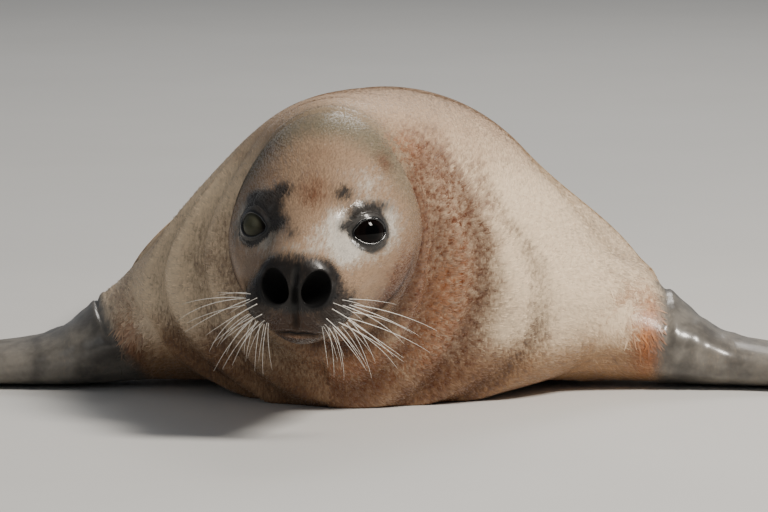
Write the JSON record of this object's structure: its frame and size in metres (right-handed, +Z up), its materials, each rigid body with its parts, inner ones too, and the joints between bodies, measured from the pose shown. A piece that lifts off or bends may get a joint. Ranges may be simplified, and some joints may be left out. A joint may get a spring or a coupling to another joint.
{
  "type": "harbor seal, life-size still model",
  "caption": "Life-size harbor seal lying on its belly, head raised and turned a little, fore flippers spread flat to both sides.",
  "frame": {"origin": "middle of the model's box, at floor level", "axes": "+Z up; the seal's head points along -Y and its tail along +Y, so +X is the animal's own left side"},
  "size_m": [1.0462, 1.613, 0.2697],
  "materials": {
    "coat": "short damp fur, satin",
    "flipper_skin": "wet, smooth, semi-gloss",
    "claw": "horn, semi-gloss",
    "eye": "wet, high gloss, opaque"
  },
  "bodies": {
    "root": {"belly": "coat", "chest": "coat", "claw_fore_left_1": "claw", "claw_fore_left_2": "claw", "claw_fore_left_3": "claw", "claw_fore_left_4": "claw", "claw_fore_left_5": "claw", "claw_fore_right_1": "claw", "claw_fore_right_2": "claw", "claw_fore_right_3": "claw", "claw_fore_right_4": "claw", "claw_fore_right_5": "claw", "claw_hind_left_1": "claw", "claw_hind_left_2": "claw", "claw_hind_left_3": "claw", "claw_hind_left_4": "claw", "claw_hind_left_5": "claw", "claw_hind_right_1": "claw", "claw_hind_right_2": "claw", "claw_hind_right_3": "claw", "claw_hind_right_4": "claw", "claw_hind_right_5": "claw", "eye_left": "eye", "eye_right": "eye", "fore_flipper_left": "flipper_skin", "fore_flipper_right": "flipper_skin", "head": "coat", "hind_flipper_left": "flipper_skin", "hind_flipper_right": "flipper_skin", "hips": "coat", "lower_jaw": "coat", "muzzle": "coat", "neck": "coat", "tail": "coat"}
  },
  "joints": []
}
